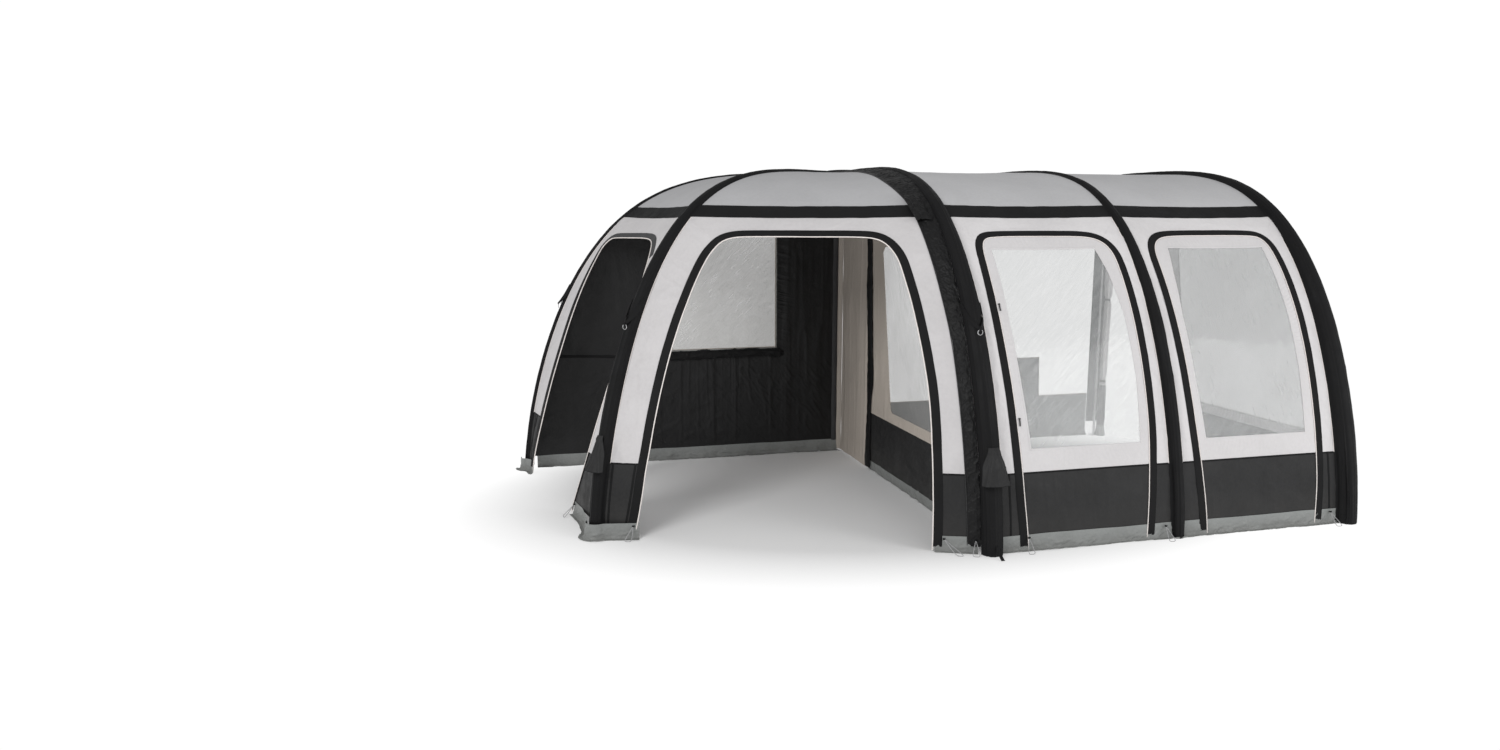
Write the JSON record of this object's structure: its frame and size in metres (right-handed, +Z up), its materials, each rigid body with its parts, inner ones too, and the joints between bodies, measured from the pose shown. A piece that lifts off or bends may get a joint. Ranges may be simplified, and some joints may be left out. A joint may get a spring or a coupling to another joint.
{
  "type": "caravan awning",
  "caption": "Inflatable caravan porch awning with parallel air ribs and a zipped-on fan-shaped side bay, open doorways, film windows and mud flaps.",
  "frame": {"origin": "Underside of the left upright's foot plate, on the ground, under the end of the porch's left rib at the rail.", "axes": "+X runs along the rail to the right seen from the front, +Y points at the vehicle, +Z is up."},
  "size_m": [5.8942, 3.2157, 2.6153],
  "materials": {
    "light_cloth": "coated weave, matt",
    "dark_cloth": "coated weave, matt",
    "tube_cloth": "tight sleeve weave, matt",
    "mud_flap": "soft coated film, satin",
    "beige_cloth": "coated weave, matt",
    "clear_film": "clear film",
    "steel": "satin",
    "plastic": "matt moulded",
    "foam": "cloth over foam"
  },
  "bodies": {
    "awning": {"air_tube_fan_corner": "tube_cloth", "air_tube_fan_rear": "tube_cloth", "air_tube_porch_left": "tube_cloth", "air_tube_porch_middle": "tube_cloth", "air_tube_porch_right": "tube_cloth", "apex_pocket": "tube_cloth", "band_fan": "dark_cloth", "band_porch": "dark_cloth", "doorway_surround_front": "light_cloth", "doorway_surround_side": "light_cloth", "draught_skirt": "mud_flap", "end_wall_door_roll": "light_cloth", "end_wall_film": "clear_film", "end_wall_panel": "beige_cloth", "end_wall_skirt": "dark_cloth", "lower_panel_doorway_right": "dark_cloth", "lower_panel_fan_corner": "dark_cloth", "lower_panel_fan_rear": "dark_cloth", "lower_panel_porch": "dark_cloth", "mud_flap_doorway_right": "mud_flap", "mud_flap_fan_corner": "mud_flap", "mud_flap_fan_rear": "mud_flap", "mud_flap_partition": "mud_flap", "mud_flap_porch": "mud_flap", "mud_flap_rear": "mud_flap", "partition_film": "clear_film", "partition_panel": "beige_cloth", "partition_skirt": "dark_cloth", "peg_strap_porch_corner": "plastic", "rail_strip": "dark_cloth", "rear_film": "clear_film", "rear_pad": "foam", "rear_wall": "dark_cloth", "roof_fan": "light_cloth", "roof_porch": "light_cloth", "upright_lower_left": "steel", "upright_lower_right": "steel", "valve_fan": "plastic", "valve_porch": "plastic", "window_film_left": "clear_film", "window_film_right": "clear_film", "window_panel_left": "light_cloth", "window_panel_right": "light_cloth", "window_surround_left": "light_cloth", "window_surround_right": "light_cloth", "zip_strip": "dark_cloth"},
    "valve_cover_fan": {"valve_cover_fan": "dark_cloth"},
    "valve_cap_fan": {"valve_cap_fan": "plastic"},
    "valve_cover_porch": {"valve_cover_porch": "dark_cloth"},
    "valve_cap_porch": {"valve_cap_porch": "plastic"},
    "guy_ring_fan_rear": {"guy_ring_fan_rear": "steel"},
    "guy_ring_fan_corner": {"guy_ring_fan_corner": "steel"},
    "guy_ring_porch_left": {"guy_ring_porch_left": "steel"},
    "partition_door": {"partition_door": "beige_cloth"},
    "zip_slider_partition": {"zip_slider_partition": "steel"},
    "zip_slider_end_wall": {"zip_slider_end_wall": "steel"},
    "toggle_window_upper": {"toggle_window_upper": "plastic"},
    "toggle_window_lower": {"toggle_window_lower": "plastic"},
    "upright_upper_left": {"upright_upper_left": "steel"},
    "upright_upper_right": {"upright_upper_right": "steel"}
  },
  "joints": [
    {"name": "valve_cover_fan_lift", "type": "hinge", "parent": "awning", "child": "valve_cover_fan", "pos_m": [-2.44144, -2.0306, 0.705], "axis": [-0.63, 0.7766, 0], "range_deg": [0, 110]},
    {"name": "valve_cap_fan_turn", "type": "hinge", "parent": "awning", "child": "valve_cap_fan", "pos_m": [-2.47787, -2.06016, 0.566], "axis": [-0.7581, -0.615, 0.217], "range_deg": [0, 90]},
    {"name": "valve_cover_porch_lift", "type": "hinge", "parent": "awning", "child": "valve_cover_porch", "pos_m": [0, -3.0219, 0.705], "axis": [-1, 0, 0], "range_deg": [0, 110]},
    {"name": "valve_cap_porch_turn", "type": "hinge", "parent": "awning", "child": "valve_cap_porch", "pos_m": [0, -3.06606, 0.57063], "axis": [0, -0.9791, 0.2036], "range_deg": [0, 90]},
    {"name": "guy_ring_fan_rear_swing", "type": "hinge", "parent": "awning", "child": "guy_ring_fan_rear", "pos_m": [-2.59823, -0.05, 1.45], "axis": [0, 1, 0], "range_deg": [0, 100]},
    {"name": "guy_ring_fan_corner_swing", "type": "hinge", "parent": "awning", "child": "guy_ring_fan_corner", "pos_m": [-2.23975, -1.86699, 1.45], "axis": [-0.63, 0.7766, 0], "range_deg": [0, 100]},
    {"name": "guy_ring_porch_left_swing", "type": "hinge", "parent": "awning", "child": "guy_ring_porch_left", "pos_m": [0, -2.77784, 1.45], "axis": [-1, 0, 0], "range_deg": [0, 100]},
    {"name": "partition_door_swing", "type": "hinge", "parent": "awning", "child": "partition_door", "pos_m": [0, -0.062, 0], "axis": [0, 0, 1], "range_deg": [0, 90]},
    {"name": "zip_slider_partition_slide", "type": "slide", "parent": "awning", "child": "zip_slider_partition", "axis": [0, 0, 1], "range_m": [0, 1.5]},
    {"name": "zip_slider_end_wall_slide", "type": "slide", "parent": "awning", "child": "zip_slider_end_wall", "axis": [0, 0, 1], "range_m": [0, 1.5]},
    {"name": "toggle_window_upper_swing", "type": "hinge", "parent": "awning", "child": "toggle_window_upper", "pos_m": [0.2256, -2.59909, 1.59996], "axis": [0.038, -0.8753, 0.482], "range_deg": [-75, 75]},
    {"name": "toggle_window_lower_swing", "type": "hinge", "parent": "awning", "child": "toggle_window_lower", "pos_m": [0.24816, -2.89661, 0.86095], "axis": [0.0225, -0.9601, 0.2787], "range_deg": [-75, 75]},
    {"name": "upright_left_slide", "type": "slide", "parent": "awning", "child": "upright_upper_left", "axis": [0, 0, 1], "range_m": [-0.35, 0]},
    {"name": "upright_right_slide", "type": "slide", "parent": "awning", "child": "upright_upper_right", "axis": [0, 0, 1], "range_m": [-0.35, 0]}
  ]
}
